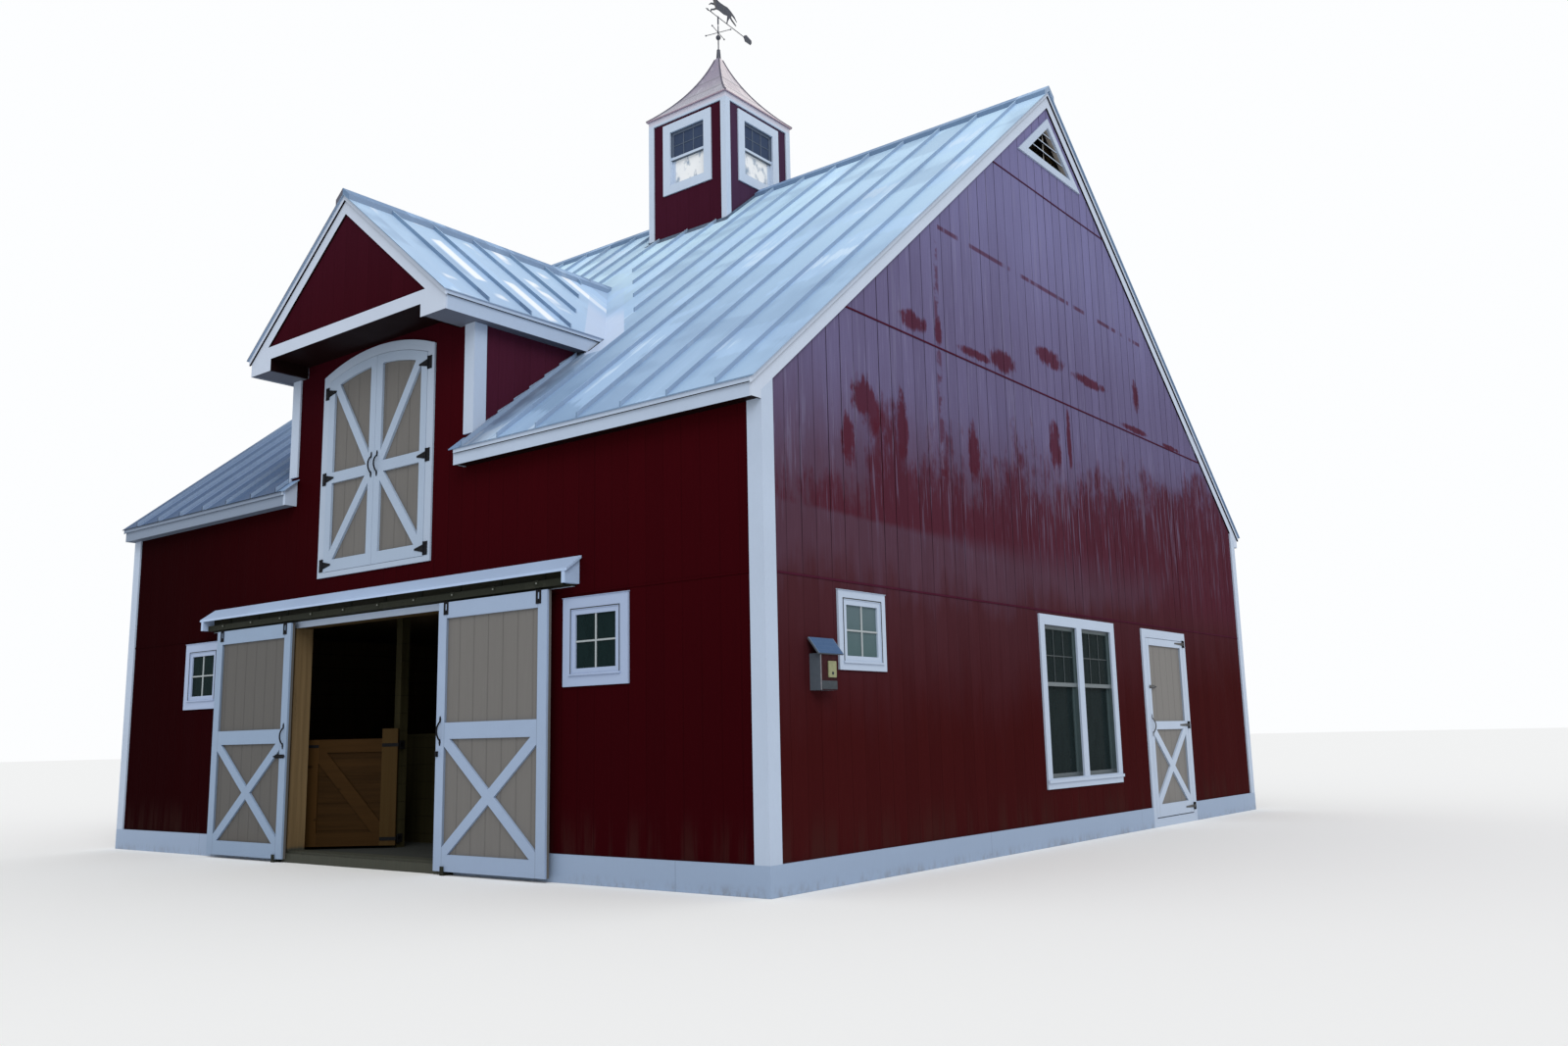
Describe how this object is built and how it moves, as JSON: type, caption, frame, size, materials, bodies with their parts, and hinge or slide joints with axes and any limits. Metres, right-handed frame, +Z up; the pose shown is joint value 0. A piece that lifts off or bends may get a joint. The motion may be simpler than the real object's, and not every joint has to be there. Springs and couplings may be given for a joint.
{
  "type": "barn",
  "caption": "Red timber barn with a steep metal roof, a wall dormer over an arched loft door, braced sliding doors and a windowed ridge cupola with a weathervane.",
  "frame": {"origin": "middle of the wall footprint at ground level", "axes": "+Z up, -Y the front with the sliding doors, +X the gable with the walk door"},
  "size_m": [10.4322, 11.835, 12.112],
  "materials": {
    "concrete": "bare concrete",
    "red_siding": "deep red paint, satin",
    "pine": "bare knotty pine",
    "roof_deck": "bare timber",
    "roof_sheet": "blue-grey galvanised sheet",
    "white_trim": "white paint, satin",
    "track_metal": "dull galvanised steel",
    "beige_boards": "grey-beige stain",
    "black_iron": "black powder coat",
    "glass": "clear window glass",
    "copper_sheet": "weathered copper sheet",
    "solar_unit": "grey control box and dark panel"
  },
  "bodies": {
    "barn": {"floor_slab": "concrete", "front_wall_left": "red_siding", "front_wall_right": "red_siding", "front_wall_over": "red_siding", "dormer_front": "red_siding", "dormer_cheeks": "red_siding", "rear_wall": "red_siding", "left_wall": "red_siding", "right_wall_front": "red_siding", "right_wall_rear": "red_siding", "right_wall_over": "red_siding", "loft_floor": "pine", "front_roof_left": "roof_deck", "front_roof_right": "roof_deck", "front_roof_middle": "roof_deck", "rear_roof": "roof_deck", "front_roof_metal": "roof_sheet", "rear_roof_metal": "roof_sheet", "dormer_roof": "roof_deck", "ridge_caps": "roof_sheet", "rake_boards": "white_trim", "eave_trim": "white_trim", "corner_boards": "white_trim", "base_boards": "white_trim", "door_track": "track_metal", "door_hood": "white_trim", "doorway_trim": "white_trim", "doorway_timbers": "pine", "loft_door_casing": "white_trim", "loft_door_frames": "white_trim", "loft_door_panels": "beige_boards", "loft_door_hardware": "black_iron", "window_frames": "white_trim", "window_glass": "glass", "walk_door_casing": "white_trim", "gable_vents": "white_trim", "cupola_walls": "red_siding", "cupola_trim": "white_trim", "cupola_roof": "copper_sheet", "vane_mast": "black_iron", "stall_wall": "pine", "solar_box": "solar_unit", "hinge_pins": "black_iron"},
    "left_sliding_door": {"left_door_panel": "beige_boards", "left_door_frame": "white_trim", "left_door_hardware": "black_iron"},
    "right_sliding_door": {"right_door_panel": "beige_boards", "right_door_frame": "white_trim", "right_door_hardware": "black_iron"},
    "walk_door": {"walk_door_panel": "beige_boards", "walk_door_frame": "white_trim", "walk_door_hardware": "black_iron"},
    "stall_gate": {"stall_gate": "pine", "gate_hardware": "black_iron"},
    "weathervane": {"weathervane": "copper_sheet"}
  },
  "joints": [
    {"name": "left_door_slide", "type": "slide", "parent": "barn", "child": "left_sliding_door", "axis": [1, 0, 0], "range_m": [-0.07, 1.264]},
    {"name": "right_door_slide", "type": "slide", "parent": "barn", "child": "right_sliding_door", "axis": [-1, 0, 0], "range_m": [-0.07, 1.264]},
    {"name": "walk_door_hinge", "type": "hinge", "parent": "barn", "child": "walk_door", "pos_m": [5.153, 3.137, 1.2], "axis": [0, 0, 1], "range_deg": [0, 110]},
    {"name": "stall_gate_hinge", "type": "hinge", "parent": "barn", "child": "stall_gate", "pos_m": [-0.71, -4.682, 0.7], "axis": [0, 0, -1], "range_deg": [0, 37]},
    {"name": "weathervane_spin", "type": "hinge", "parent": "barn", "child": "weathervane", "pos_m": [0, 0, 11.7], "axis": [0, 0, 1], "continuous": true}
  ]
}
